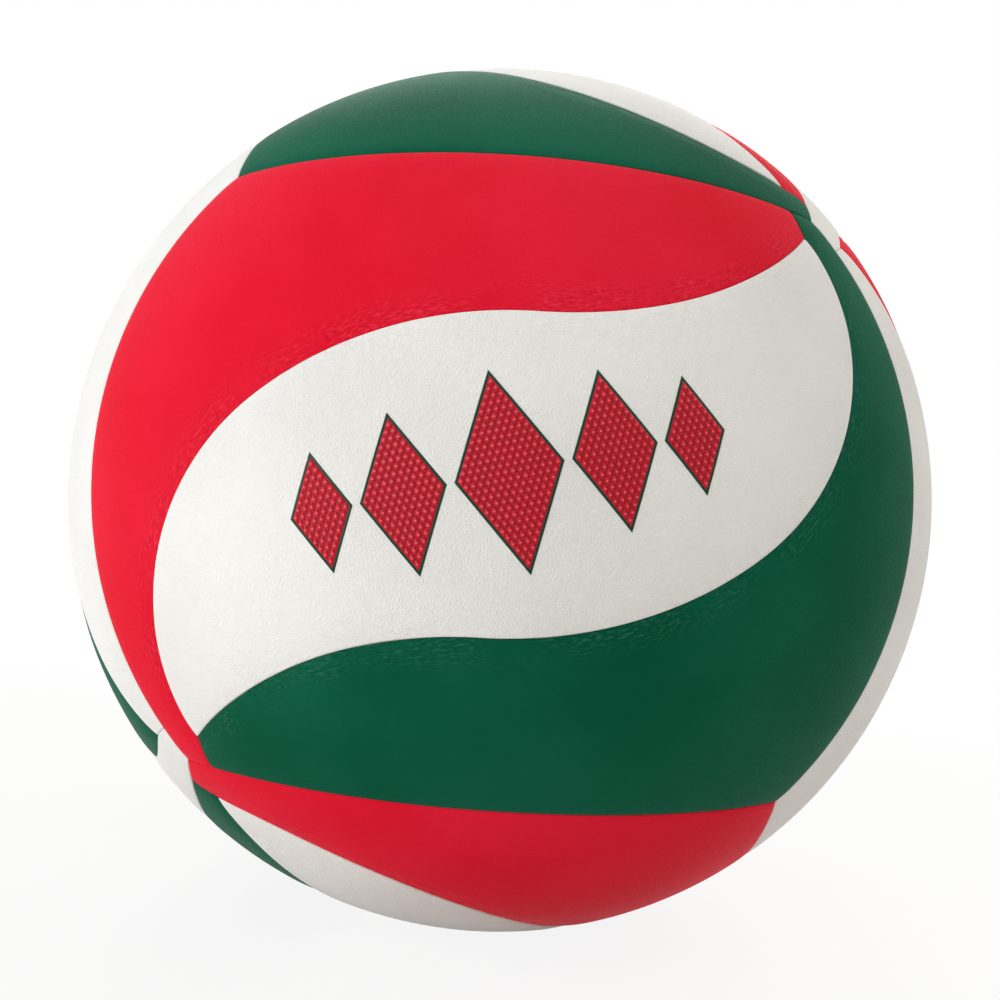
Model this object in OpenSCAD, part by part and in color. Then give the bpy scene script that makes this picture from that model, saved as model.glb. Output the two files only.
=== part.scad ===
// An indoor volleyball: eighteen leather panels in six groups of three, over foam, rubber and an air bladder.
// The ball is centred on the origin, +Z up, and its front group of panels faces -Y. The valve points along +Y.

/* [Ball] */
// Length round the ball
circumference = 660; // [650:1:670]
// Thickness of a panel's leather skin
skin_t = 1.2; // [0.8:0.1:2]
// Thickness of the foam pad under each skin
pad_t = 2; // [1:0.1:3]
// Thickness of the rubber cover that the panels are glued to
carcass_t = 0.8; // [0.5:0.1:1.5]
// Thickness of the layer of wound nylon thread
winding_t = 0.5; // [0.3:0.1:1]
// Thickness of the air bladder's wall
bladder_t = 0.6; // [0.4:0.1:1.5]

/* [Seams] */
// Open groove between two panels, at the surface
seam_gap = 0.4; // [0.2:0.1:1]
// How far a group's edge bows out past the great circle between its corners, in degrees
edge_bow = 9.2; // [5:0.1:9.7]
// Longest straight step along a curved seam, in degrees over the ball
seam_step = 4; // [2:0.5:6]

/* [Valve] */
// Hole through the valve for the pump's needle
needle_d = 2.2; // [2:0.1:2.6]
// Depth of the funnel that guides the needle in
funnel_depth = 1; // [0.5:0.1:2]
// Shank of the rubber core that grips the needle
core_d = 4.8; // [4:0.1:6]
// Neck of the valve, which shows in the middle of one panel
neck_d = 8.6; // [8:0.1:10]
// Round hole for the neck in the panel
panel_hole_d = 9.4; // [9:0.1:12]
// Flange that is welded inside the bladder
flange_d = 30; // [22:1:40]
// Thickness of the flange
flange_t = 1.2; // [0.8:0.1:2]
// How far the neck's sleeve reaches into the air
sleeve_len = 12; // [8:1:20]
// Depth of the neck's mouth below the ball's surface
mouth_depth = 0.7; // [0.2:0.1:1.5]
// Patch inside the bladder, opposite the valve, that balances it
balance_d = 34; // [20:1:50]
// Thickness of the balance patch
balance_t = 1.1; // [0.5:0.1:2]

/* [Hidden] */
$fn = 180;

leather_red = [0.87, 0.10, 0.17];
leather_green = [0.07, 0.30, 0.22];
leather_white = [0.93, 0.92, 0.89];
foam_cream = [0.90, 0.86, 0.74];
rubber_black = [0.10, 0.10, 0.11];

// Radii of the layers, from the outside in
ball_r = circumference / (2 * PI);
pad_r = ball_r - skin_t;
carcass_r = pad_r - pad_t;
winding_r = carcass_r - carcass_t;
bladder_r = winding_r - winding_t;
air_r = bladder_r - bladder_t;

// What cuts a panel out runs between these distances from the ball's centre
reach = ball_r + 10;
near = reach / 4;
// Half of the groove between two panels, in degrees over the ball
half_gap = seam_gap / 2 / ball_r * 180 / PI;

// The groups lie on the ball like a cube's faces, so a corner is this far from the middle of its edge.
half_edge = acos(sqrt(2 / 3));
// An edge is a circle through two corners: how wide it opens, and how far its axis leans past the group's own.
edge_open = atan((1 / cos(half_edge) - cos(edge_bow)) / sin(edge_bow));
edge_lean = edge_open - edge_bow - 45;

// A curved seam parts a group's middle panel from an outer one. It starts at the middle panel's tip in one
// corner and ends at the tip in the opposite corner. Places and lengths are degrees over the ball, counted from
// the group's middle, and a heading of 0 points along the group's x.
seam_tip = [-35.5, -33.8];
seam_heading = 124;
// Each arc's length, and how far it turns to the left
seam_arcs = [[15, -34], [30.5, -54], [30, -35], [22, 31.5], [17.5, 18.5]];
// From each tip a short straight seam runs out over the group's edge.
foot_heading = 108;
foot_len = 8;
// An outer panel's outline goes round the group at this distance, clear of every edge.
round_off = 66;
// Step between the corners that an edge's circle is drawn with, in degrees along it
ring_step = 4;
// On the flat face, this is outside every group.
far_out = 3;

// The middle panel's tips are half a turn apart.
seam_end_heading = heading_before(len(seam_arcs));
seam_way = [
    for (n = [0:len(seam_arcs) - 1])
        let (steps = ceil(seam_arcs[n][0] / seam_step))
            for (i = [(n == 0 ? 1 : 0):steps - 1])
                let (heading = heading_before(n) + seam_arcs[n][1] * i / steps)
                    [along(start_of(n), heading_before(n), seam_arcs[n], i / steps), heading, heading]
];
foot_way = foot_len * [cos(foot_heading), sin(foot_heading)];
outer_way = concat(
    [[seam_tip - foot_way, foot_heading, foot_heading], [seam_tip, foot_heading, seam_heading]],
    seam_way,
    [[-seam_tip, seam_end_heading, foot_heading], [-seam_tip + foot_way, foot_heading, foot_heading]]
);
middle_half_way = concat([[seam_tip, seam_end_heading + 180, seam_heading]], seam_way);
middle_way = concat(middle_half_way, [for (stop = middle_half_way) [-stop[0], stop[1] + 180, stop[2] + 180]]);

// Outlines on the flat face of a cube, one unit from the ball's centre
outer_outline = concat(
    [for (stop = outer_way) on_face(beside(stop, half_gap))],
    [for (turn = [90:45:225]) on_face(round_off * [cos(turn), sin(turn)])]
);
middle_outline = [for (stop = middle_way) on_face(beside(stop, -half_gap))];

// Heights along the valve, from the ball's centre
mouth_z = ball_r - mouth_depth;
sleeve_z = air_r - flange_t - sleeve_len;
// The core's wider head sits in the mouth, and its collar behind the sleeve's inner end.
head_len = 1.8;
head_d = core_d + 1.6;
collar_len = 1.6;
collar_d = core_d + 1.2;
core_z = sleeve_z - collar_len;

// Each group's name, its half turn about Z, its turn about the line through two opposite corners, what its three
// panels are called, and their colours. An outer panel is called after the edge of its group that it fills.
GROUPS = [
    ["front", 0, 0, ["left", "middle", "right"], [leather_red, leather_white, leather_green]],
    ["bottom", 0, 120, ["front", "middle", "back"], [leather_red, leather_white, leather_green]],
    ["left", 0, 240, ["bottom", "middle", "top"], [leather_white, leather_green, leather_white]],
    ["back", 180, 0, ["right", "middle", "left"], [leather_green, leather_white, leather_red]],
    ["top", 180, 120, ["back", "middle", "front"], [leather_red, leather_white, leather_green]],
    ["right", 180, 240, ["top", "middle", "bottom"], [leather_white, leather_red, leather_white]]
];
front_group = GROUPS[0];
valve_group = GROUPS[3];
middle_place = 1;

// The heading with which arc n of the seam starts
function heading_before(n) = n == 0 ? seam_heading : heading_before(n - 1) + seam_arcs[n - 1][1];

// The place where arc n of the seam starts
function start_of(n) = n == 0 ? seam_tip : along(start_of(n - 1), heading_before(n - 1), seam_arcs[n - 1], 1);

// The place a part of the way along an arc
function along(from, heading, arc, part) =
    from + arc[0] * 180 / (PI * arc[1]) * [
        sin(heading + part * arc[1]) - sin(heading),
        cos(heading) - cos(heading + part * arc[1])
    ];

// A stop is a place with its headings in and out. This is the place beside it, to the left by some degrees.
function beside(stop, shift) =
    let (heading = (stop[1] + stop[2]) / 2)
        stop[0] + shift / cos((stop[2] - stop[1]) / 2) * [-sin(heading), cos(heading)];

// Turns degrees over the ball into a place on the cube's flat face.
function on_face(place) = place * tan(norm(place)) / norm(place);

// A place on a circle on the ball, put on the flat face: the circle's axis tilts towards +x, the circle opens
// round it, and way counts degrees along the circle.
function ring_place(tilt, open, way) =
    [cos(open) * sin(tilt) + sin(open) * cos(tilt) * cos(way), sin(open) * sin(way)]
    / (cos(open) * cos(tilt) - sin(open) * sin(tilt) * cos(way));

// Puts what is made round +Z where a group of panels is.
module at_group(group) {
    rotate(a = group[2], v = [1, 1, 1]) rotate([0, 0, group[1]]) rotate([90, 0, 0]) children();
}

module shell(outer, inner) {
    difference() {
        sphere(r = outer);
        sphere(r = inner);
    }
}

// A group's outline on the cube's flat face. Its left and right edges bow outwards, and the other two are the
// bowed edges of the groups above and below it.
module group_outline() {
    difference() {
        intersection_for (turn = [0, 180]) rotate(turn)
            polygon([for (way = [0:ring_step:360 - ring_step]) ring_place(edge_lean, edge_open - half_gap, way)]);
        for (turn = [90, 270]) rotate(turn)
            polygon(concat(
                [for (way = [120:ring_step:240]) ring_place(90 + edge_lean, edge_open + half_gap, way)],
                [[far_out, -far_out], [far_out, far_out]]
            ));
    }
}

// Everything inside a flat outline, seen from the ball's centre
module wedge() {
    translate([0, 0, reach]) mirror([0, 0, 1])
        linear_extrude(height = reach - near, scale = near / reach) scale(reach) children();
}

// One panel's part of a layer: place 0, 1 or 2 in its group
module panel(group, place, outer, inner) {
    at_group(group) intersection() {
        rotate([90, 0, 0]) shell(outer, inner);
        wedge() if (place == middle_place) {
            polygon(middle_outline);
        } else {
            intersection() {
                group_outline();
                rotate(place == 0 ? 0 : 180) polygon(outer_outline);
            }
        }
    }
}

// A round hole from inside the ball out through the middle of the valve's group
module valve_hole(d) {
    at_group(valve_group) cylinder(h = reach, d = d);
}

module skin(group, place) {
    color(group[4][place]) difference() {
        panel(group, place, ball_r, pad_r);
        if (group == valve_group && place == middle_place) valve_hole(panel_hole_d);
    }
}

module pad(group, place) {
    color(foam_cream) difference() {
        panel(group, place, pad_r, carcass_r);
        if (group == valve_group && place == middle_place) valve_hole(panel_hole_d);
    }
}

// Moulded rubber cover over the winding
module carcass() {
    color("dimgray") difference() {
        shell(carcass_r, winding_r);
        valve_hole(panel_hole_d);
    }
}

// Nylon thread, wound all round the bladder
module thread_winding() {
    color("ivory") difference() {
        shell(winding_r, bladder_r);
        valve_hole(panel_hole_d);
    }
}

module bladder() {
    color(rubber_black) difference() {
        shell(bladder_r, air_r);
        valve_hole(neck_d);
    }
}

// Neck, sleeve and flange in one moulding, with the seat for the core
module valve_body() {
    color(rubber_black) at_group(valve_group) difference() {
        union() {
            translate([0, 0, sleeve_z]) cylinder(h = mouth_z - sleeve_z, d = neck_d);
            intersection() {
                rotate([90, 0, 0]) shell(air_r, air_r - flange_t);
                cylinder(h = reach, d = flange_d);
            }
        }
        cylinder(h = reach, d = core_d);
        translate([0, 0, mouth_z - head_len]) cylinder(h = reach, d = head_d);
    }
}

// Soft plug that seals round the needle, with the needle's channel and its funnel
module valve_core() {
    color("gray") at_group(valve_group) difference() {
        union() {
            translate([0, 0, core_z]) cylinder(h = collar_len, d = collar_d);
            translate([0, 0, core_z]) cylinder(h = mouth_z - core_z, d = core_d);
            translate([0, 0, mouth_z - head_len]) cylinder(h = head_len, d = head_d);
        }
        cylinder(h = reach, d = needle_d);
        translate([0, 0, mouth_z - funnel_depth])
            cylinder(h = 2 * funnel_depth, d1 = needle_d, d2 = needle_d + 4 * funnel_depth);
    }
}

module balance_patch() {
    color(rubber_black) at_group(front_group) intersection() {
        rotate([90, 0, 0]) shell(air_r, air_r - balance_t);
        cylinder(h = reach, d = balance_d);
    }
}

for (group = GROUPS) {
    for (place = [0:2]) {
        skin(group, place);
        pad(group, place);
    }
}
carcass();
thread_winding();
bladder();
valve_body();
valve_core();
balance_patch();
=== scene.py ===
from dataclasses import dataclass
from math import acos, asin, atan, cos, pi, radians, sin, sqrt

import bpy
import numpy as np
from mathutils import Matrix, Vector, kdtree, noise
from mathutils.geometry import delaunay_2d_cdt


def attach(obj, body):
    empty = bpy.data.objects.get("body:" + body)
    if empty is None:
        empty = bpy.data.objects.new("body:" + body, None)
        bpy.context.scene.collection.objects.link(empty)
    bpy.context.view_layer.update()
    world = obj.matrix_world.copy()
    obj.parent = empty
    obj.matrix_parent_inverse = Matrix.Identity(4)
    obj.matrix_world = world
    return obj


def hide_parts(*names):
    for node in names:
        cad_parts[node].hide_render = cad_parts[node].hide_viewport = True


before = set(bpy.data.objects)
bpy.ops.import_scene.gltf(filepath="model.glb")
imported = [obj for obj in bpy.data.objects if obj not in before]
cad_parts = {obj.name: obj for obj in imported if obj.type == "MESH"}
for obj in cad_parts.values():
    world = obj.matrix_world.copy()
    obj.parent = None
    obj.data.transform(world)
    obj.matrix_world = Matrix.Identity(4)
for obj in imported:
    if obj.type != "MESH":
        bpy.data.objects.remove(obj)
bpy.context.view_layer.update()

# Lengths are in millimetres where no comment says otherwise. They become metres when a mesh is made.
MM = 0.001


def layer_radii(node):
    """The inner and outer radius of a node that is a piece of a round shell."""
    away = [point.co.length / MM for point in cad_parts[node].data.vertices]
    return min(away), max(away)


pad_r, ball_r = layer_radii("front_left_skin")
carcass_r = layer_radii("front_left_pad")[0]

# The panels' layout is the solid model's. Places are degrees over the ball, counted from a group's middle,
# in the group's own frame: x along it, y up it and z out of the ball. A heading of 0 points along x.

# How far a group's edge bows out past the great circle between its corners
EDGE_BOW = 9.2
# Where the middle panel's lower left tip is, and which way the curved seam leaves it
SEAM_TIP = np.array([-35.5, -33.8])
SEAM_HEADING = 124
# Each arc's length, and how far it turns to the left
SEAM_ARCS = ((15, -34), (30.5, -54), (30, -35), (22, 31.5), (17.5, 18.5))
# The short straight seam that runs from a tip out over the group's edge
FOOT_HEADING = 108
FOOT_LEN = 8
# In radians: half an edge of the cube that the groups lie on, how wide an edge's circle opens, and how far
# that circle's axis leans past the group's own
HALF_EDGE = acos(sqrt(2 / 3))
EDGE_OPEN = atan((1 / cos(HALF_EDGE) - cos(radians(EDGE_BOW))) / sin(radians(EDGE_BOW)))
EDGE_LEAN = EDGE_OPEN - radians(EDGE_BOW) - pi / 4

# Each group's name, its half turn about Z, its turn about the line through two opposite corners, and its
# panels with their colours
GROUPS = (
    ("front", 0, 0, (("left", "red"), ("middle", "white"), ("right", "green"))),
    ("bottom", 0, 120, (("front", "red"), ("middle", "white"), ("back", "green"))),
    ("left", 0, 240, (("bottom", "white"), ("middle", "green"), ("top", "white"))),
    ("back", 180, 0, (("right", "green"), ("middle", "white"), ("left", "red"))),
    ("top", 180, 120, (("back", "red"), ("middle", "white"), ("front", "green"))),
    ("right", 180, 240, (("top", "white"), ("middle", "red"), ("bottom", "white"))),
)
# Where the middle panel stands in its group's list
MIDDLE_PLACE = 1
# The group whose middle panel has the valve's hole, and the hole's radius
VALVE_GROUP = "back"
PANEL_HOLE_R = 4.7

# Colours as sRGB shares
RED = (0.885, 0.075, 0.18)
GREEN = (0.0, 0.32, 0.225)
WHITE = (0.94, 0.938, 0.932)
CUT_EDGE = (0.86, 0.84, 0.78)
WEAVE = (0.93, 0.92, 0.88)
FOAM = (0.90, 0.86, 0.74)
THREAD = (0.90, 0.88, 0.80)
THREAD_SHADE = (0.62, 0.58, 0.48)
FLOOR = (0.93, 0.93, 0.92)

# Gap between two cut edges, and the radius that a skin's edge is rounded with
CUT_GAP = 0.04
EDGE_ROUND = 0.3
# How deep and how wide a skin sinks towards a curved seam, and towards a group's edge or the valve's hole
SEAM_SINK = {"red": (0.45, 6.5), "green": (0.45, 6.5), "white": (0.28, 5.0)}
EDGE_SINK = (0.16, 4.0)
# Least thickness of a skin, at the tips where two lines that it sinks towards meet
LEAST_SKIN = 0.2
# Creases beside a curved seam: how wide their band is, how far from the seam the large ones reach their full
# depth, and the depth, length and width of the large and of the fine
CREASE_BAND = 7.5
CREASE_START = 0.8
LARGE_CREASE = (0.16, 6.0, 1.4)
FINE_CREASE = (0.2, 1.4, 0.45)
# How strongly a colour of leather is creased
CREASE_SHARE = {"red": 1.0, "green": 1.0, "white": 0.35}
# Sizes along a seam and across it of the noise that bends the large creases, and of the patches they come in
CREASE_BEND = (14, 4)
CREASE_PATCH = (30, 20)
# Where two seams' distances differ by less than this, the leather between them isn't creased
SEAMS_APART = 1
# Unevenness of the foam below the skin, as depth and size, and how far apart two panels' noise is taken
DENTS = ((0.07, 26.0), (0.025, 9.0))
DENT_SHIFT = 7
# Space between two layers of the ball
LAYER_GAP = 0.03
# The leather's grain: its size along the lean and across it, and the lean
GRAIN_SIZE = (0.7, 0.45, 0.45)
GRAIN_LEAN = (0, radians(-45), 0)
# How deep the grain of each colour of leather is
GRAIN_DEPTH = {"red": 0.02, "green": 0.02, "white": 0.07}

# A plain print of lozenges in a row, on the front group's middle panel: the width and height of each
PRINT_LOZENGES = ((11.0, 20.0), (14.5, 27.0), (18.0, 34.0), (14.5, 27.0), (11.0, 20.0))
PRINT_GAP = 2.4
# Degrees that the row leans up to the right
PRINT_LEAN = 16
# Thickness of the print, the width of its outline, and the relief pressed into it, with that relief's pitch
PRINT_T = 0.07
PRINT_LINE = 0.45
PRINT_RELIEF = 0.4
PRINT_PITCH = 1.35
# Steps of the mesh over one pyramid of the relief
PYRAMID_STEPS = 4
# A small share of a pyramid, so that rounding leaves none of its start to the one before
PYRAMID_NUDGE = 1e-6


# Places on the ball

# Points of a dense run along an arc of the seam, an edge's circle, the short seam and the valve's hole
ARC_STEPS = 60
EDGE_STEPS = 160
FOOT_STEPS = 80
HOLE_STEPS = 120
# Lengths below this count as none
NO_LENGTH = 1e-9


def directions(places):
    """Unit directions of places that are given in degrees over the ball."""
    away = np.linalg.norm(places, axis=1, keepdims=True)
    turn = np.radians(away)
    return np.hstack([np.sin(turn) * places / np.maximum(away, NO_LENGTH), np.cos(turn)])


def to_chart(points):
    """Puts unit directions on a flat chart that keeps angles true."""
    return 2 * points[:, :2] / (1 + points[:, 2:])


def chart_scale(flat):
    """How much longer a length is on the chart than over a ball of radius 1."""
    return 1 + (flat**2).sum(axis=1, keepdims=True) / 4


def from_chart(flat):
    """Turns places on the chart back into unit directions."""
    scale = chart_scale(flat)
    return np.hstack([flat, 2 - scale]) / scale


def turned(points, angle):
    """Directions turned about the group's own axis, by an angle in degrees."""
    c, s = cos(radians(angle)), sin(radians(angle))
    return points @ np.array([[c, s, 0], [-s, c, 0], [0, 0, 1]])


def seam_run():
    """The curved seam, from one tip of the middle panel to the other, as a dense run of directions."""
    place, heading = SEAM_TIP, radians(SEAM_HEADING)
    places = [[place]]
    for length, turn in SEAM_ARCS:
        turn = radians(turn)
        ways = heading + turn * np.linspace(0, 1, ARC_STEPS + 1)[1:]
        bend = np.stack([np.sin(ways) - sin(heading), cos(heading) - np.cos(ways)], axis=1)
        places.append(place + length / turn * bend)
        place, heading = places[-1][-1], ways[-1]
    return directions(np.vstack(places))


def circle_run(tilt, start, stop):
    """A stretch of an edge's circle, whose axis tilts from z towards x."""
    ways = np.linspace(start, stop, EDGE_STEPS + 1)
    c, s = cos(EDGE_OPEN), sin(EDGE_OPEN)
    x = c * sin(tilt) + s * cos(tilt) * np.cos(ways)
    z = c * cos(tilt) - s * sin(tilt) * np.cos(ways)
    return np.stack([x, s * np.sin(ways), z], axis=1)


def foot_run():
    """The short seam from the middle panel's upper right tip to the group's upper edge."""
    heading = radians(FOOT_HEADING)
    foot = np.array([[cos(heading), sin(heading)]]) * FOOT_LEN
    run = directions(-SEAM_TIP + np.linspace(0, 1, FOOT_STEPS + 1)[:, None] * foot)
    tilt = pi / 2 + EDGE_LEAN
    past = run @ np.array([0, sin(tilt), cos(tilt)]) - cos(EDGE_OPEN)
    last = int(np.argmax(past > 0))
    part = past[last - 1] / (past[last - 1] - past[last])
    return np.vstack([run[:last], run[last - 1] + part * (run[last] - run[last - 1])])


def outer_outline():
    """The outline of the panel that fills a group's left edge, anticlockwise, as stretches of a kind."""
    foot = foot_run()
    across = asin(foot[-1, 0] / sin(EDGE_OPEN))
    corner = asin(1 / sqrt(3) / sin(EDGE_OPEN))
    inward = pi / 2 + EDGE_LEAN
    return (
        ("edge", turned(foot, 180)[::-1]),
        ("seam", seam_run()),
        ("edge", foot),
        ("edge", turned(circle_run(inward, pi + across, pi - corner), 90)),
        ("edge", circle_run(EDGE_LEAN, pi - corner, pi + corner)),
        ("edge", turned(circle_run(inward, pi + corner, pi + across), -90)),
    )


def middle_outline():
    """The outline of a group's middle panel, anticlockwise."""
    seam = seam_run()[::-1]
    return ("seam", seam), ("seam", turned(seam, 180))


def hole_outline():
    """The round hole for the valve, clockwise."""
    ways = np.linspace(0, -2 * pi, HOLE_STEPS + 1)
    away = PANEL_HOLE_R / ball_r
    ring = np.stack([sin(away) * np.cos(ways), sin(away) * np.sin(ways), 0 * ways + cos(away)], axis=1)
    return (("edge", ring),)


def spaced(run, step):
    """Directions at even steps along a dense run, without its last one."""
    way = np.r_[0, np.cumsum(np.linalg.norm(np.diff(run, axis=0), axis=1))]
    at = np.linspace(0, way[-1], max(2, round(way[-1] * ball_r / step)) + 1)[:-1]
    points = np.stack([np.interp(at, way, run[:, axis]) for axis in range(3)], axis=1)
    return points / np.linalg.norm(points, axis=1, keepdims=True)


def nearest(points, line):
    """How far each direction is from a line on the ball, and the way along the line to its nearest place."""
    tree = kdtree.KDTree(len(line))
    for number, place in enumerate(line):
        tree.insert(place, number)
    tree.balance()
    at = np.array([tree.find(point)[1] for point in points])
    steps = np.diff(line, axis=0)
    lengths = np.linalg.norm(steps, axis=1)
    ways = np.r_[0, np.cumsum(lengths)]
    off = np.full(len(points), np.inf)
    way = np.zeros(len(points))
    for start in (np.maximum(at - 1, 0), np.minimum(at, len(line) - 2)):
        from_start = points - line[start]
        part = np.clip((from_start * steps[start]).sum(axis=1) / lengths[start] ** 2, 0, 1)
        gap = np.linalg.norm(from_start - part[:, None] * steps[start], axis=1)
        closer = gap < off
        off[closer] = gap[closer]
        way[closer] = (ways[start] + part * lengths[start])[closer]
    return off * ball_r, way * ball_r


# How many points are tested against a loop in one step, to save memory
POINTS_AT_ONCE = 2000


def inside(points, loop):
    """Which places on the chart lie inside a closed loop."""
    ahead = np.roll(loop, -1, axis=0)
    found = []
    for part in np.array_split(points, len(points) // POINTS_AT_ONCE + 1):
        x, y = part[:, :1], part[:, 1:]
        crossing = (loop[:, 1] > y) != (ahead[:, 1] > y)
        rise = np.where(crossing, ahead[:, 1] - loop[:, 1], 1)
        crossing &= x < loop[:, 0] + (y - loop[:, 1]) / rise * (ahead[:, 0] - loop[:, 0])
        found.append(crossing.sum(axis=1) % 2 == 1)
    return np.concatenate(found)


def beside(loop, shift):
    """A closed loop on the chart, moved to its left by a distance over the ball."""
    steps = np.roll(loop, -1, axis=0) - loop
    lefts = np.stack([-steps[:, 1], steps[:, 0]], axis=1) / np.linalg.norm(steps, axis=1, keepdims=True)
    before = np.roll(lefts, 1, axis=0)
    mitre = (lefts + before) / (1 + (lefts * before).sum(axis=1, keepdims=True))
    return loop + shift / ball_r * chart_scale(loop) * mitre


def hex_grid(flat, step):
    """Evenly spread places over the box that holds an outline on the chart."""
    step = step / ball_r
    low, high = flat.min(axis=0), flat.max(axis=0)
    rows = np.arange(low[1], high[1], step * sqrt(3) / 2)
    columns = np.arange(low[0], high[0], step)
    x, y = np.meshgrid(columns, rows)
    x[1::2] += step / 2
    return np.stack([x.ravel(), y.ravel()], axis=1)


# A panel's points and triangles

@dataclass
class Layout:
    """A panel as seen from the ball's centre. Both faces begin with the rims' points, in the same order."""

    outer: np.ndarray
    outer_faces: list
    inner: np.ndarray
    inner_faces: list
    # Where each rim's points start and stop
    rims: list
    # The kind of each line round the panel, and how far each point of the outer face is from it
    kinds: list
    offs: np.ndarray
    # How far each of them is from the nearest curved seam and along it, and how strongly it is creased
    seam_off: np.ndarray
    seam_way: np.ndarray
    drawn: np.ndarray


@dataclass
class Mesh:
    """How finely a panel is divided: along its outline, in a band beside its seams, and over the rest."""

    # How far inside the outline each ring of points lies
    rings: tuple
    outline_step: float
    band_step: float
    # No width means that there is no band
    band_w: float
    grid_step: float
    inner_step: float


def measured(points, outline):
    """How far each direction is from each stretch of an outline, and how far along it."""
    return np.array([nearest(points, run) for _, run in outline]).transpose(1, 0, 2)


# Ways along a panel's second seam are counted from this many ball radii, so that it is creased unlike the
# first
SECOND_SEAM = 10


def along_seams(kinds, offs, ways):
    """The nearest seam's distance, the way along it, and where leather can crease: not between two seams."""
    seams = [number for number, kind in enumerate(kinds) if kind == "seam"]
    order = np.argsort(offs[seams], axis=0)
    sorted_offs = np.take_along_axis(offs[seams], order, axis=0)
    apart = sorted_offs[1] - sorted_offs[0] if len(seams) > 1 else np.full(offs.shape[1], np.inf)
    way = np.take_along_axis(ways[seams], order, axis=0)[0] + order[0] * SECOND_SEAM * ball_r
    return sorted_offs[0], way, np.clip((apart - SEAMS_APART) / CREASE_BAND, 0, 1)


def triangles(flat, rims):
    """Triangles between places on the chart. The rims' places come first, and nothing lies beyond a rim."""
    edges = [(n, n + 1 if n + 1 < stop else start) for start, stop in rims for n in range(start, stop)]
    made = delaunay_2d_cdt([Vector(place) for place in flat], edges, [], 0, NO_LENGTH)
    faces = np.array(made[2])
    corners = flat[faces]
    middles = corners.mean(axis=1)
    outline, *holes = (flat[start:stop] for start, stop in rims)
    keep = inside(middles, outline)
    for hole in holes:
        keep &= ~inside(middles, hole)
    one, two = corners[:, 1] - corners[:, 0], corners[:, 2] - corners[:, 0]
    backward = one[:, 0] * two[:, 1] < one[:, 1] * two[:, 0]
    faces[backward] = faces[backward][:, ::-1]
    return faces[keep].tolist()


# Shares of a step that a ring, the outer face's grid and the inner face's grid keep clear of the lines
RING_CLEARANCE = 0.9
GRID_CLEARANCE = 0.7
INNER_CLEARANCE = 0.6


def lay_out(outline, hole, mesh):
    """Spreads points over a panel, densely beside its curved seams, and joins them."""
    lines = outline + hole
    parts = [part for part in (outline, hole) if part]
    loops = [to_chart(np.vstack([spaced(run, mesh.outline_step) for _, run in part])) for part in parts]
    kinds = [kind for kind, _ in lines]
    rim_places = [beside(loop, CUT_GAP / 2) for loop in loops]
    stops = np.cumsum([0] + [len(places) for places in rim_places])
    rims = list(zip(stops[:-1].tolist(), stops[1:].tolist()))

    def kept(places, least, band):
        """The places in the panel, at least so far from each line, beside the seams or away from them."""
        places = places[inside(places, loops[0])]
        offs, _ = measured(from_chart(places), lines)
        keep = offs.min(axis=0) > least
        if band is not None:
            keep &= (offs[[kind == "seam" for kind in kinds]].min(axis=0) < mesh.band_w) == band
        if len(loops) > 1:
            keep &= ~inside(places, loops[1])
        return places[keep]

    spread = list(rim_places)
    for ring in mesh.rings:
        ring_off = CUT_GAP / 2 + ring
        spread.extend(kept(beside(loop, ring_off), RING_CLEARANCE * ring_off, None) for loop in loops)
    last_ring = CUT_GAP / 2 + mesh.rings[-1]
    if mesh.band_w:
        band_grid = hex_grid(loops[0], mesh.band_step)
        spread.append(kept(band_grid, last_ring + GRID_CLEARANCE * mesh.band_step, True))
    grid = hex_grid(loops[0], mesh.grid_step)
    spread.append(kept(grid, last_ring + GRID_CLEARANCE * mesh.grid_step, False))
    outer = np.vstack(spread)
    inner_grid = hex_grid(loops[0], mesh.inner_step)
    inner = np.vstack(rim_places + [kept(inner_grid, INNER_CLEARANCE * mesh.inner_step, None)])
    offs, ways = measured(from_chart(outer), lines)
    seam_off, seam_way, drawn = along_seams(kinds, offs, ways)
    return Layout(
        outer=from_chart(outer),
        outer_faces=triangles(outer, rims),
        inner=from_chart(inner),
        inner_faces=triangles(inner, rims),
        rims=rims,
        kinds=kinds,
        offs=offs,
        seam_off=seam_off,
        seam_way=seam_way,
        drawn=drawn,
    )


# The surface of a skin

def sink(off, depth, width):
    """How far a surface lies below the ball's, if it bends down evenly towards a line."""
    return depth * np.clip(1 - off / width, 0, 1) ** 2


def rounding(off, radius):
    """How far a rounded edge lies below the surface."""
    short = np.clip(radius - (off - CUT_GAP / 2), 0, radius)
    return radius - np.sqrt(radius**2 - short**2)


def waves(x, y, z):
    """Smooth noise at many points."""
    return np.array([noise.noise(point) for point in np.stack([x, y, z], axis=1).tolist()])


def creases(layout, seed):
    """How deep the leather is creased along its curved seams: long furrows, in patches."""
    depth, length, width = LARGE_CREASE
    total = np.zeros(len(layout.outer))
    near = layout.seam_off < CREASE_BAND
    way, off = layout.seam_way[near], layout.seam_off[near]
    # Each noise is taken at a level of its own.
    level = 0 * way + seed
    wander = waves(way / CREASE_BEND[0], off / CREASE_BEND[1], level)
    long = waves(way / length, off / width + 1.5 * wander, level + 2.6)
    short = waves(2 * way / length, 1.7 * off / width + 2 * wander, level + 5.2)
    furrow = np.clip(0.5 + long + 0.5 * short, 0, 1)
    patch = np.clip(0.45 + 1.8 * waves(way / CREASE_PATCH[0], off / CREASE_PATCH[1], level + 8.1), 0, 1)
    band = np.clip(off / CREASE_START, 0, 1) * np.clip(1.25 * (1 - off / CREASE_BAND), 0, 1)
    total[near] = depth * furrow * patch * band
    return total * layout.drawn


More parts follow.
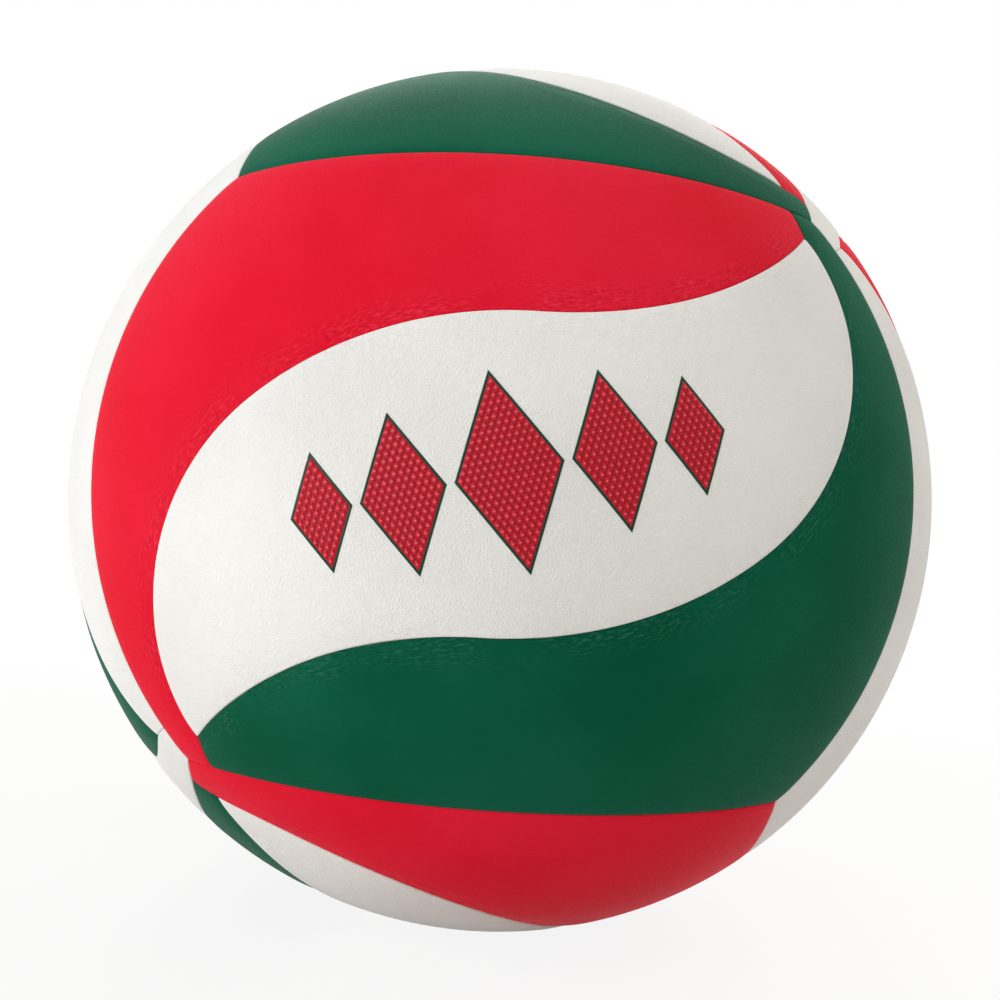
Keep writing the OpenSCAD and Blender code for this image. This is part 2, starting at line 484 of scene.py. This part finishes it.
def skin_heights(layout, colour, seed):
    """The distance of a skin's outer points from the ball's centre."""
    drop = rounding(layout.offs.min(axis=0), EDGE_ROUND)
    for kind, off in zip(layout.kinds, layout.offs):
        drop += sink(off, *(SEAM_SINK[colour] if kind == "seam" else EDGE_SINK))
    height = ball_r - drop - CREASE_SHARE[colour] * creases(layout, seed) - dents(layout.outer, seed)
    return np.maximum(height, pad_r + LAYER_GAP + LEAST_SKIN)


def dents(points, seed):
    """How deep the foam lets the skin sink here and there."""
    total = np.zeros(len(points))
    for depth, size in DENTS:
        x, y, z = (points * ball_r / size).T
        total += depth * (0.5 + 0.5 * waves(x + DENT_SHIFT * seed, y, z))
    return total


# Making pieces

def panel_seed(group_number, place):
    """A number of its own for each panel, so that no two are creased alike."""
    return 3 * group_number + place


def group_turn(group):
    """The rotation that puts what is made round +Z where a group of panels is."""
    _, half_turn, third_turn, _ = group
    corner = Matrix.Rotation(radians(third_turn), 3, Vector((1, 1, 1)))
    return np.array(corner @ Matrix.Rotation(radians(half_turn), 3, "Z") @ Matrix.Rotation(pi / 2, 3, "X"))


# An edge with a sharper bend than this isn't shaded as smooth
SHARP_ANGLE = radians(50)


def make_piece(name, points, faces, materials, second_from=0):
    """A smooth mesh that rides on the ball. Faces from second_from on get the second material, if any."""
    mesh = bpy.data.meshes.new(name)
    mesh.from_pydata((points * MM).tolist(), [], faces)
    for material in materials:
        mesh.materials.append(material)
    if len(materials) > 1:
        kinds = np.zeros(len(faces), dtype=np.int32)
        kinds[second_from:] = 1
        mesh.polygons.foreach_set("material_index", kinds)
    mesh.shade_smooth()
    mesh.set_sharp_from_angle(angle=SHARP_ANGLE)
    piece = bpy.data.objects.new(name, mesh)
    bpy.context.collection.objects.link(piece)
    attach(piece, "root")
    return piece


def make_panel(name, layout, turn, heights, inner_r, materials):
    """A closed panel: its outer face, then its inner face and the cut edge between them."""
    start = len(layout.outer)
    points = np.vstack([layout.outer * heights[:, None], layout.inner * inner_r]) @ turn.T
    faces = list(layout.outer_faces)
    faces += [[start + c, start + b, start + a] for a, b, c in layout.inner_faces]
    for first, stop in layout.rims:
        for n in range(first, stop):
            ahead = n + 1 if n + 1 < stop else first
            faces.append([ahead, n, start + n, start + ahead])
    piece = make_piece(name, points, faces, materials, len(layout.outer_faces))
    for field in ("seam_off", "seam_way", "drawn"):
        values = np.zeros(len(points), dtype=np.float32)
        values[:start] = getattr(layout, field)
        piece.data.attributes.new(field, "FLOAT", "POINT").data.foreach_set("value", values)
    return piece


# Materials

def linear(colour):
    """An sRGB colour as a shader takes it."""
    return [((c + 0.055) / 1.055) ** 2.4 if c > 0.04045 else c / 12.92 for c in colour] + [1]


def new_material(name):
    """A material with its node tree and its shader."""
    material = bpy.data.materials.new(name)
    material.use_nodes = True
    return material, material.node_tree, material.node_tree.nodes["Principled BSDF"]


def fill(tree, node, sockets):
    """Gives a node's sockets their values, or a link where a value is another node's output."""
    for name, value in sockets.items():
        if isinstance(value, bpy.types.NodeSocket):
            tree.links.new(value, node.inputs[name])
        else:
            node.inputs[name].default_value = value


def add(tree, kind, sockets, **settings):
    """A new node with its sockets and settings."""
    made = tree.nodes.new("ShaderNode" + kind)
    for name, value in settings.items():
        setattr(made, name, value)
    fill(tree, made, sockets)
    return made


def place_in_mm(tree):
    """The place on the ball, in millimetres."""
    place = add(tree, "TexCoord", {}).outputs["Object"]
    return add(tree, "VectorMath", {0: place, "Scale": 1 / MM}, operation="SCALE").outputs[0]


def clouds(tree, place, size, detail=2):
    """Soft noise from 0 to 1, with lumps of a size."""
    return add(tree, "TexNoise", {"Vector": place, "Scale": 1 / size, "Detail": detail}).outputs[0]


def between(tree, value, low, high, at_low=0.0, at_high=1.0):
    """A value moved smoothly from one range to another, and kept in it."""
    sockets = {"Value": value, "From Min": low, "From Max": high, "To Min": at_low, "To Max": at_high}
    return add(tree, "MapRange", sockets, interpolation_type="SMOOTHSTEP").outputs[0]


def times(tree, one, two):
    """The product of two values."""
    return add(tree, "Math", {0: one, 1: two}, operation="MULTIPLY").outputs[0]


# A mix node's inputs and output for colours, which come after those for numbers and vectors
MIX_INPUTS = (6, 7)
MIX_OUTPUT = 2


def mixed(tree, share, one, two):
    """A colour between two, given as sRGB shares or as outputs."""
    sockets = {"Factor": share}
    for number, colour in zip(MIX_INPUTS, (one, two)):
        sockets[number] = colour if isinstance(colour, bpy.types.NodeSocket) else linear(colour)
    return add(tree, "Mix", sockets, data_type="RGBA").outputs[MIX_OUTPUT]


def darker(colour, share):
    """A colour with only a share of its light."""
    return tuple(share * part for part in colour)


def paler(colour, share):
    """A colour moved a share of the way to white."""
    return tuple(part + share * (1 - part) for part in colour)


def bump(tree, height, depth, below=None):
    """The surface's normal over a relief of a depth, on top of another relief if there is one."""
    sockets = {"Height": height, "Distance": depth * MM}
    if below is not None:
        sockets["Normal"] = below
    return add(tree, "Bump", sockets).outputs[0]


def pebbles(tree, place, size, edge, lean=(0, 0, 0)):
    """Small cells of a size with a furrow between them, 0 in the furrow and 1 on a cell."""
    sockets = {"Vector": place, "Scale": size, "Rotation": lean}
    even = add(tree, "Mapping", sockets, vector_type="TEXTURE").outputs[0]
    shift = add(tree, "TexNoise", {"Vector": even, "Scale": 0.4, "Detail": 0}).outputs["Color"]
    moved = add(tree, "VectorMath", {0: shift, 1: even}).outputs[0]
    cells = add(tree, "TexVoronoi", {"Vector": moved, "Scale": 1}, feature="DISTANCE_TO_EDGE").outputs[0]
    return between(tree, cells, 0, edge)


# How far the fine creases wander along a seam and across it, the size of their patches, and up to which
# distance from a seam they are full
FINE_WANDER = (2, 1.2, 0)
FINE_PATCH = 12
FINE_FULL = 1.5


def fine_creases(tree):
    """Streaks of ridges along the curved seams, how strongly they are drawn, and the seams' distance."""
    fields = ("seam_off", "seam_way", "drawn")
    off, way, drawn = (add(tree, "Attribute", {}, attribute_name=field).outputs["Fac"] for field in fields)
    along = add(tree, "CombineXYZ", {"X": way, "Y": off}).outputs[0]
    wander = add(tree, "TexNoise", {"Vector": along, "Scale": 0.3, "Detail": 1}).outputs["Color"]
    sockets = {0: wander, 1: FINE_WANDER, 2: along}
    bent = add(tree, "VectorMath", sockets, operation="MULTIPLY_ADD").outputs[0]
    narrow = add(tree, "VectorMath", {0: bent, 1: FINE_CREASE[1:] + (1,)}, operation="DIVIDE").outputs[0]
    streaks = add(tree, "TexNoise", {"Vector": narrow, "Scale": 1, "Detail": 2}).outputs[0]
    patch = between(tree, clouds(tree, along, FINE_PATCH), low=0.34, high=0.56)
    band = times(tree, drawn, between(tree, off, FINE_FULL, CREASE_BAND, at_low=1, at_high=0))
    return streaks, times(tree, patch, band), off


# Sizes of the leather's changes of tone, of the patches of pale cut edge and of the pores
TONE_SIZE = 40
CUT_PATCH = 7
PORE_SIZE = 0.16
PORE_DEPTH = 0.006
# Between which distances from a seam the pale cut edge fades
CUT_REACH = (0.03, 0.14)
# Shares of its light that the leather keeps in dull patches and round the grain's cells, and in the creases'
# furrows as painted shade
DULL_TONE = 0.965
GRAIN_TONE = 0.86
FURROW_SHADE_TONE = 0.7
# How far pale patches go towards white, and how far the creases' ridges go there as a painted sheen
PALE_TONE = 0.05
RIDGE_SHEEN_TONE = 0.28
# How strongly the grain, the painted sheen on ridges, the painted shade in furrows and the cut edge show in
# the colour
GRAIN_SHARE = 0.14
RIDGE_SHEEN_SHARE = 0.25
FURROW_SHADE_SHARE = 0.32
CUT_SHARE = 0.6
# Roughness round the grain's cells and on them
LEATHER_ROUGHNESS = (0.56, 0.43)
# White light all round reflects in the leather, so that more gloss than this puts a haze on its colours
LEATHER_GLOSS = 0.03


def leather(name, colour, grain_depth, creased):
    """Soft microfibre leather: grain, creases beside the seams with a painted sheen on their ridges and
    painted shade in their furrows, slight changes of tone, a pale cut edge.
    """
    material, tree, shader = new_material(name)
    place = place_in_mm(tree)
    grain = pebbles(tree, place, GRAIN_SIZE, edge=0.4, lean=GRAIN_LEAN)
    streaks, drawn, off = fine_creases(tree)
    tone = between(tree, clouds(tree, place, TONE_SIZE), low=0.3, high=0.7)
    soft = mixed(tree, tone, darker(colour, DULL_TONE), paler(colour, PALE_TONE))
    round_cells = times(tree, between(tree, grain, low=0, high=1, at_low=1, at_high=0), GRAIN_SHARE)
    grained = mixed(tree, round_cells, soft, darker(colour, GRAIN_TONE))
    # The streaks are 0.5 on plain leather, more on a ridge and less in a furrow. Ridges are painted paler as
    # a sheen, and furrows darker as shade.
    ridge_sheen, furrow = (times(tree, between(tree, streaks, low=0.5, high=full), drawn) for full in (0.68, 0.34))
    # Painted sheen on the crease ridges, then painted shade in their furrows.
    raised = mixed(tree, times(tree, ridge_sheen, RIDGE_SHEEN_SHARE * creased), grained, paler(colour, RIDGE_SHEEN_TONE))
    with_furrow_shade = mixed(tree, times(tree, furrow, FURROW_SHADE_SHARE * creased), raised, darker(colour, FURROW_SHADE_TONE))
    at_cut = between(tree, off, *CUT_REACH, at_low=1, at_high=0)
    cut = times(tree, at_cut, between(tree, clouds(tree, place, CUT_PATCH), low=0.5, high=0.65))
    edged = mixed(tree, times(tree, cut, CUT_SHARE), with_furrow_shade, CUT_EDGE)
    roughness = between(tree, grain, 0, 1, *LEATHER_ROUGHNESS)
    pores = bump(tree, clouds(tree, place, PORE_SIZE), PORE_DEPTH)
    cells = bump(tree, grain, grain_depth, below=pores)
    relief = bump(tree, times(tree, streaks, drawn), creased * FINE_CREASE[0], below=cells)
    sockets = {
        "Base Color": edged,
        "Specular IOR Level": LEATHER_GLOSS,
        "Roughness": roughness,
        "Normal": relief,
    }
    fill(tree, shader, sockets)
    return material


def backing():
    """Woven polyester on the back of a skin, which also shows at its cut edge."""
    material, tree, shader = new_material("backing")
    place = place_in_mm(tree)
    sockets = {"Vector": place, "Scale": 0.55, "Distortion": 0.6}
    threads = [add(tree, "TexWave", sockets, bands_direction=axis).outputs[0] for axis in ("X", "Y", "Z")]
    weave = times(tree, add(tree, "Math", {0: threads[0], 1: threads[1]}).outputs[0], threads[2])
    colour = mixed(tree, weave, CUT_EDGE, WEAVE)
    fill(tree, shader, {"Base Color": colour, "Roughness": 0.85, "Normal": bump(tree, weave, depth=0.08)})
    return material


def foam():
    """Fine closed-cell foam."""
    material, tree, shader = new_material("foam")
    place = place_in_mm(tree)
    cells = pebbles(tree, place, size=(0.35, 0.35, 0.35), edge=0.3)
    colour = mixed(tree, cells, darker(FOAM, 0.84), FOAM)
    fill(tree, shader, {"Base Color": colour, "Roughness": 0.9, "Normal": bump(tree, cells, depth=0.05)})
    return material


def rubber(name, colour, roughness, bloom, grain):
    """Moulded rubber with a pale bloom and a fine grain of a size."""
    material, tree, shader = new_material(name)
    place = place_in_mm(tree)
    cloudy = times(tree, between(tree, clouds(tree, place, size=9, detail=4), low=0.4, high=0.75), bloom)
    bloomed = mixed(tree, cloudy, colour, paler(colour, 0.25))
    dull = between(tree, cloudy, 0, 1, at_low=roughness, at_high=roughness + 0.2)
    relief = bump(tree, clouds(tree, place, grain, detail=3), depth=0.03)
    fill(tree, shader, {"Base Color": bloomed, "Roughness": dull, "Normal": relief})
    return material


# How many ways the thread is wound in
THREAD_WAYS = 5


def wound_thread():
    """Nylon thread that crosses itself in every direction."""
    material, tree, shader = new_material("wound_thread")
    place = place_in_mm(tree)
    height = None
    for number in range(THREAD_WAYS):
        sockets = {"Vector": place, "Axis": (sin(number), cos(number), 0.4), "Angle": 1.1 * number}
        turn = add(tree, "VectorRotate", sockets).outputs[0]
        sockets = {"Vector": turn, "Scale": 0.32, "Distortion": 1.5, "Detail Scale": 0.1}
        strand = between(tree, add(tree, "TexWave", sockets).outputs[0], low=0.45, high=0.95)
        if height is None:
            height = strand
        else:
            height = add(tree, "Math", {0: height, 1: strand}, operation="MAXIMUM").outputs[0]
    colour = mixed(tree, height, THREAD_SHADE, THREAD)
    fill(tree, shader, {"Base Color": colour, "Roughness": 0.5, "Normal": bump(tree, height, depth=0.2)})
    return material


skin_leather = {
    name: leather(f"{name}_leather", colour, GRAIN_DEPTH[name], CREASE_SHARE[name])
    for name, colour in (("red", RED), ("green", GREEN), ("white", WHITE))
}
skin_backing = backing()
pad_foam = foam()

# The panels

# A skin's rings of points lie at these degrees round its rounded edge.
ROUND_RINGS = tuple(EDGE_ROUND * (1 - cos(radians(angle))) for angle in (30, 60, 90))
SKIN_MESH = Mesh(
    rings=ROUND_RINGS,
    outline_step=0.5,
    band_step=0.42,
    band_w=7.0,
    grid_step=1.5,
    inner_step=3.0,
)
# Radius that a pad's edge is rounded with
PAD_ROUND = 0.4
PAD_MESH = Mesh(
    rings=(PAD_ROUND / 2, PAD_ROUND),
    outline_step=2.0,
    band_step=0,
    band_w=0,
    grid_step=3.0,
    inner_step=4.0,
)


def panel_layouts(mesh):
    """The layouts of an outer panel, of a middle one, and of the middle one with the valve's hole."""
    return (
        lay_out(outer_outline(), (), mesh),
        lay_out(middle_outline(), (), mesh),
        lay_out(middle_outline(), hole_outline(), mesh),
    )


outer_skin, middle_skin, valve_skin = panel_layouts(SKIN_MESH)
outer_pad, middle_pad, valve_pad = panel_layouts(PAD_MESH)
for group_number, group in enumerate(GROUPS):
    for place, (panel, colour) in enumerate(group[3]):
        skin, pad = outer_skin, outer_pad
        if place == MIDDLE_PLACE:
            skin, pad = (valve_skin, valve_pad) if group[0] == VALVE_GROUP else (middle_skin, middle_pad)
        turn = group_turn(group)
        if place > MIDDLE_PLACE:
            turn = turn @ np.diag([-1, -1, 1])
        name = f"{group[0]}_{panel}"
        seed = panel_seed(group_number, place)
        piece = make_panel(
            f"{name}_leather",
            skin,
            turn,
            skin_heights(skin, colour, seed),
            pad_r + LAYER_GAP,
            (skin_leather[colour], skin_backing),
        )
        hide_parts(f"{name}_skin")
        pad_heights = pad_r - LAYER_GAP - rounding(pad.offs.min(axis=0), PAD_ROUND)
        pad_inner_r = carcass_r + LAYER_GAP
        piece = make_panel(f"{name}_foam", pad, turn, pad_heights, pad_inner_r, (pad_foam,))
        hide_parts(f"{name}_pad")

# The print

def on_print(places, heights):
    """Points over the front group's middle panel, at places along the row of lozenges and across it."""
    lean = radians(PRINT_LEAN)
    turn = np.array([[cos(lean), sin(lean)], [-sin(lean), cos(lean)]])
    out = directions(np.degrees(places @ turn / ball_r))
    away = ball_r - dents(out, panel_seed(0, MIDDLE_PLACE)) + heights
    return out * away[:, None] @ group_turn(GROUPS[0]).T


def lozenge_field(middle, width, height):
    """A closed lozenge with small pyramids pressed into its face, and how high each point is on them."""
    cells = round(sqrt(width**2 + height**2) / 2 / PRINT_PITCH)
    steps = PYRAMID_STEPS * cells
    ways = np.linspace(-1, 1, steps + 1)
    a, b = (grid.ravel() for grid in np.meshgrid(ways, ways))
    places = np.stack([middle + (a + b) * width / 4, (a - b) * height / 4], axis=1)
    # 1 on a furrow between two pyramids and 0 over a pyramid's middle
    slope = np.abs(2 * np.modf((ways + 1) / 2 * cells + PYRAMID_NUDGE)[0] - 1)
    slope_a, slope_b = (grid.ravel() for grid in np.meshgrid(slope, slope))
    rise = 1 - np.maximum(slope_a, slope_b)
    top = on_print(places, PRINT_T + PRINT_RELIEF * rise)
    base = on_print(places, np.full(len(places), -PRINT_T))
    row = steps + 1
    starts = [line * row + n for line in range(steps) for n in range(steps)]
    upper = [(n, n + row, n + row + 1, n + 1) for n in starts]
    count = len(top)
    lower = [tuple(count + n for n in reversed(face)) for face in upper]
    rim = [*range(steps), *range(steps, count - 1, row)]
    rim += [*range(count - 1, count - row, -1), *range(count - row, 0, -row)]
    sides = [(n, ahead, count + ahead, count + n) for n, ahead in zip(rim, rim[1:] + rim[:1])]
    return np.vstack([top, base]), upper + lower + sides, np.r_[rise, np.zeros(count)]


def lozenge_line(middle, width, height):
    """A closed raised line round a lozenge."""
    corners = np.array([[width, 0], [0, height], [-width, 0], [0, -height]]) / 2
    steps = round(sqrt(width**2 + height**2) / 2 / PRINT_PITCH)
    parts = np.linspace(0, 1, steps + 1)[:-1, None]
    ahead_corners = np.roll(corners, -1, axis=0)
    path = np.vstack([start + parts * (stop - start) for start, stop in zip(corners, ahead_corners)])
    inner_r = width * height / 2 / sqrt(width**2 + height**2)
    # Across the line: shares of its width, and the heights there
    section = (
        (-0.1, -PRINT_T),
        (0.0, PRINT_T),
        (0.15, 1.5 * PRINT_T),
        (0.8, 1.5 * PRINT_T),
        (1.0, PRINT_T),
        (1.1, -PRINT_T),
    )
    loops = [
        on_print((1 + share * PRINT_LINE / inner_r) * path + (middle, 0), np.full(len(path), rise))
        for share, rise in section
    ]
    faces = []
    count = len(path)
    for ring in range(len(section)):
        start, ahead_start = ring * count, (ring + 1) % len(section) * count
        for n in range(count):
            ahead = (n + 1) % count
            faces.append((start + n, ahead_start + n, ahead_start + ahead, start + ahead))
    return np.vstack(loops), faces, np.zeros(count * len(section))


def make_print(name, parts, colour):
    """One piece of printed film from several meshes."""
    starts = np.cumsum([0] + [len(points) for points, _, _ in parts])
    faces = [[start + n for n in face] for start, part in zip(starts.tolist(), parts) for face in part[1]]
    points = np.vstack([part[0] for part in parts])
    rise = np.hstack([part[2] for part in parts]).astype(np.float32)
    piece = make_piece(name, points, faces, (print_film(name, colour),))
    piece.data.attributes.new("rise", "FLOAT", "POINT").data.foreach_set("value", rise)


def print_film(name, colour):
    """Printed film with a soft gloss: a painted highlight paler where it stands up, and painted shade darker
    in its relief's grooves.
    """
    material, tree, shader = new_material(name)
    place = place_in_mm(tree)
    rise = add(tree, "Attribute", {}, attribute_name="rise").outputs["Fac"]
    deep = darker(colour, 0.68)
    uneven = mixed(tree, clouds(tree, place, size=1.2, detail=3), deep, colour)
    # Painted shade: the relief's grooves are darker. The lines, which have no relief, take the deep colour
    # throughout.
    sides = mixed(tree, between(tree, rise, low=0.05, high=0.4), deep, uneven)
    # Painted highlight: the relief's tops are paler.
    highlighted_tops = mixed(tree, between(tree, rise, low=0.55, high=1), sides, paler(colour, 0.4))
    relief = bump(tree, clouds(tree, place, size=0.3), depth=0.02)
    fill(tree, shader, {"Base Color": highlighted_tops, "Specular IOR Level": 0.2, "Roughness": 0.38, "Normal": relief})
    return material


row_len = sum(width for width, _ in PRINT_LOZENGES) + PRINT_GAP * (len(PRINT_LOZENGES) - 1)
lozenge_fields, lozenge_lines = [], []
left = -row_len / 2
for width, height in PRINT_LOZENGES:
    lozenge_fields.append(lozenge_field(left + width / 2, width, height))
    lozenge_lines.append(lozenge_line(left + width / 2, width, height))
    left += width + PRINT_GAP
make_print("print_fields", lozenge_fields, RED)
make_print("print_lines", lozenge_lines, GREEN)

# The solid nodes that stay

NODE_FINISHES = {
    "carcass": rubber("carcass_rubber", (0.20, 0.19, 0.19), roughness=0.6, bloom=0.6, grain=0.5),
    "thread_winding": wound_thread(),
    "bladder": rubber("butyl_rubber", (0.09, 0.09, 0.10), roughness=0.35, bloom=0.8, grain=2.5),
    "valve_body": rubber("valve_rubber", (0.08, 0.08, 0.085), roughness=0.45, bloom=0.5, grain=0.3),
    "valve_core": rubber("core_rubber", (0.30, 0.30, 0.31), roughness=0.5, bloom=0.4, grain=0.25),
    "balance_patch": rubber("patch_rubber", (0.09, 0.09, 0.10), roughness=0.5, bloom=0.6, grain=0.8),
}
for node, material in NODE_FINISHES.items():
    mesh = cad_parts[node].data
    mesh.materials.clear()
    mesh.materials.append(material)

# Stage, lights and camera

# Half the floor's length, in metres
FLOOR_HALF = 3
# How white the floor looks of itself near the ball and farther out, and between which distances that changes
FLOOR_WHITE = (0.88, 1)
FLOOR_FADE = (150, 700)
# The even light all round
WORLD_COLOUR = (1, 0.95, 0.9, 1)
WORLD_POWER = 0.3
# Plain white light, which the camera sees as the background and mixed into the floor
PURE_WHITE = {"Color": (1, 1, 1, 1), "Strength": 1}
# The camera's distance in ball radii, its turn in degrees about one axis, and its lens and sensor
CAMERA_AWAY = 2.857
CAMERA_TURN = (2.66, -4.26, -0.79)
LENS = 41.62
SENSOR_W = 36
# Square lamps that face the ball: place in ball radii, size in metres, power and colour
LAMPS = (
    ("key", (-10, -3, 0.5), 0.3, 3.1, (0.9, 0.95, 1)),
    ("low", (-7, -6, -0.3), 0.12, 2.6, (1, 0.97, 0.92)),
    ("top_left", (-1, -8, 9), 0.9, 3.6, (0.9, 0.96, 1)),
    ("top_right", (8, -2, 9), 0.9, 5.2, (1, 0.93, 0.8)),
    ("top", (-1, 1, 12), 0.9, 3, (0.97, 0.99, 1)),
    ("back", (0, 9, 8), 0.9, 5, (1, 0.98, 0.95)),
)


def seen_directly(tree):
    """1 for what the camera sees, straight or in a mirror or glass, and otherwise 0."""
    path = add(tree, "LightPath", {}).outputs
    seen = add(tree, "Math", {0: path["Is Camera Ray"], 1: path["Is Glossy Ray"]}).outputs[0]
    return add(tree, "Math", {0: seen, 1: path["Is Transmission Ray"]}, use_clamp=True).outputs[0]


def make_floor():
    """A pale floor that keeps a soft shadow near the ball and looks plain white farther out."""
    mesh = bpy.data.meshes.new("floor")
    sides = ((-1, -1), (1, -1), (1, 1), (-1, 1))
    corners = [(x * FLOOR_HALF, y * FLOOR_HALF, -ball_r * MM) for x, y in sides]
    mesh.from_pydata(corners, [], [(0, 1, 2, 3)])
    floor = bpy.data.objects.new("floor", mesh)
    bpy.context.collection.objects.link(floor)
    material, tree, shader = new_material("floor")
    fill(tree, shader, {"Base Color": linear(FLOOR), "Roughness": 0.9})
    white = add(tree, "Emission", PURE_WHITE).outputs[0]
    away = add(tree, "VectorMath", {0: place_in_mm(tree)}, operation="LENGTH").outputs["Value"]
    share = times(tree, seen_directly(tree), between(tree, away, *FLOOR_FADE, *FLOOR_WHITE))
    both = add(tree, "MixShader", {0: share, 1: shader.outputs[0], 2: white}).outputs[0]
    tree.links.new(both, tree.nodes["Material Output"].inputs["Surface"])
    mesh.materials.append(material)


def make_world():
    """Even pale light all round, behind a white background."""
    world = bpy.data.worlds.new("world")
    world.use_nodes = True
    tree = world.node_tree
    light = tree.nodes["Background"]
    fill(tree, light, {"Color": WORLD_COLOUR, "Strength": WORLD_POWER})
    white = add(tree, "Background", PURE_WHITE).outputs[0]
    both = add(tree, "MixShader", {0: seen_directly(tree), 1: light.outputs[0], 2: white}).outputs[0]
    tree.links.new(both, tree.nodes["World Output"].inputs["Surface"])
    bpy.context.scene.world = world


def add_lamp(name, place, size, power, colour):
    """A square area lamp that faces the ball."""
    lamp = bpy.data.lights.new(name, "AREA")
    lamp.size = size
    lamp.energy = power
    lamp.color = colour
    holder = bpy.data.objects.new(name, lamp)
    bpy.context.collection.objects.link(holder)
    holder.location = Vector(place) * ball_r * MM
    holder.rotation_euler = holder.location.to_track_quat("Z", "Y").to_euler()


def add_camera():
    """The camera, as the photograph was taken."""
    away = CAMERA_AWAY * ball_r * MM
    axis = Vector(CAMERA_TURN)
    camera = bpy.data.cameras.new("camera")
    camera.sensor_width = SENSOR_W
    camera.lens = LENS
    holder = bpy.data.objects.new("camera", camera)
    bpy.context.collection.objects.link(holder)
    turn = Matrix.Rotation(radians(axis.length), 4, axis)
    holder.matrix_world = turn @ Matrix.Translation((0, -away, 0)) @ Matrix.Rotation(pi / 2, 4, "X")
    bpy.context.scene.camera = holder


make_floor()
make_world()
for lamp in LAMPS:
    add_lamp(*lamp)
add_camera()
bpy.context.scene.view_settings.view_transform = "Standard"
